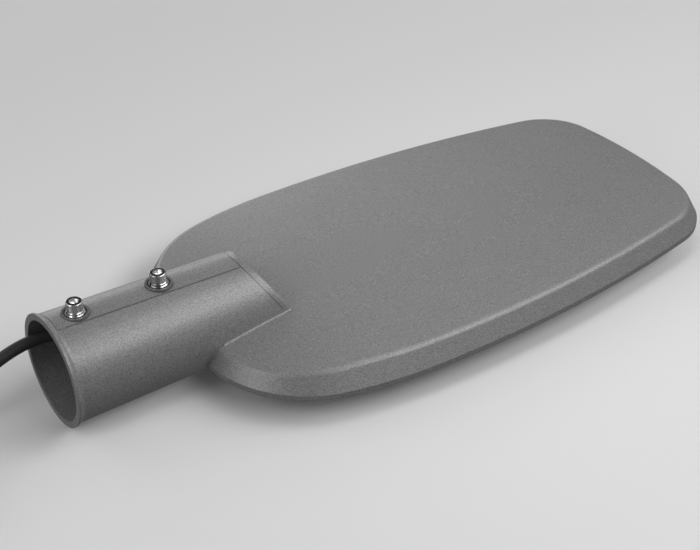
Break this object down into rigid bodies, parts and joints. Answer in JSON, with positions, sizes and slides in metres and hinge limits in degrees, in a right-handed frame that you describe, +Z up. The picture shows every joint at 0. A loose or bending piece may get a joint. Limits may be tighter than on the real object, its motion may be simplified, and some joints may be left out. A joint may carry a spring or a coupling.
{
  "type": "street light head",
  "caption": "Thin crowned paddle-shaped LED street light head with a cast-in round pole socket, clamp screws on its top and a supply cable.",
  "frame": {"origin": "centre of the pole socket's mouth, in the plane of its end ring", "axes": "+X along the socket into the head, +Y to the head's left, +Z up; the light leaves along -Z"},
  "size_m": [0.6627, 0.2192, 0.0779],
  "materials": {
    "housing": "fine-grain powder coat",
    "lens_panel": "clear polycarbonate",
    "lens_gasket": "moulded silicone",
    "led_board": "white solder mask on aluminium",
    "leds": "phosphor",
    "led_board_screws": "stainless",
    "lens_panel_screws": "stainless",
    "driver": "plain metal case",
    "driver_screws": "stainless",
    "driver_cover": "fine-grain powder coat",
    "cover_gasket": "moulded silicone",
    "cover_screws": "stainless",
    "breather_vent": "moulded",
    "gland_body": "moulded polyamide",
    "gland_cap": "moulded polyamide",
    "gland_seal": "moulded",
    "gland_locknut": "moulded polyamide",
    "cable_inner_end": "cable sheath",
    "terminal_block": "moulded",
    "earth_screw": "brass",
    "supply_cores": "core insulation",
    "driver_input_wires": "core insulation",
    "led_wires": "core insulation",
    "clamp_screw_mouth": "stainless",
    "flat_washer_mouth": "stainless",
    "spring_washer_mouth": "stainless",
    "clamp_screw_inner": "stainless",
    "flat_washer_inner": "stainless",
    "spring_washer_inner": "stainless",
    "supply_cable": "cable sheath",
    "supply_cable_coil": "cable sheath",
    "coil_tie": "moulded",
    "core_ends": "core insulation"
  },
  "bodies": {
    "root": {"housing": "housing", "lens_panel": "lens_panel", "lens_gasket": "lens_gasket", "led_board": "led_board", "leds": "leds", "led_board_screws": "led_board_screws", "lens_panel_screws": "lens_panel_screws", "driver": "driver", "driver_screws": "driver_screws", "driver_cover": "driver_cover", "cover_gasket": "cover_gasket", "cover_screws": "cover_screws", "breather_vent": "breather_vent", "gland_body": "gland_body", "gland_cap": "gland_cap", "gland_seal": "gland_seal", "gland_locknut": "gland_locknut", "cable_inner_end": "cable_inner_end", "terminal_block": "terminal_block", "earth_screw": "earth_screw", "supply_cores": "supply_cores", "driver_input_wires": "driver_input_wires", "led_wires": "led_wires", "clamp_screw_mouth": "clamp_screw_mouth", "flat_washer_mouth": "flat_washer_mouth", "spring_washer_mouth": "spring_washer_mouth", "clamp_screw_inner": "clamp_screw_inner", "flat_washer_inner": "flat_washer_inner", "spring_washer_inner": "spring_washer_inner", "supply_cable": "supply_cable", "supply_cable_coil": "supply_cable_coil", "coil_tie": "coil_tie", "core_ends": "core_ends"}
  },
  "joints": []
}
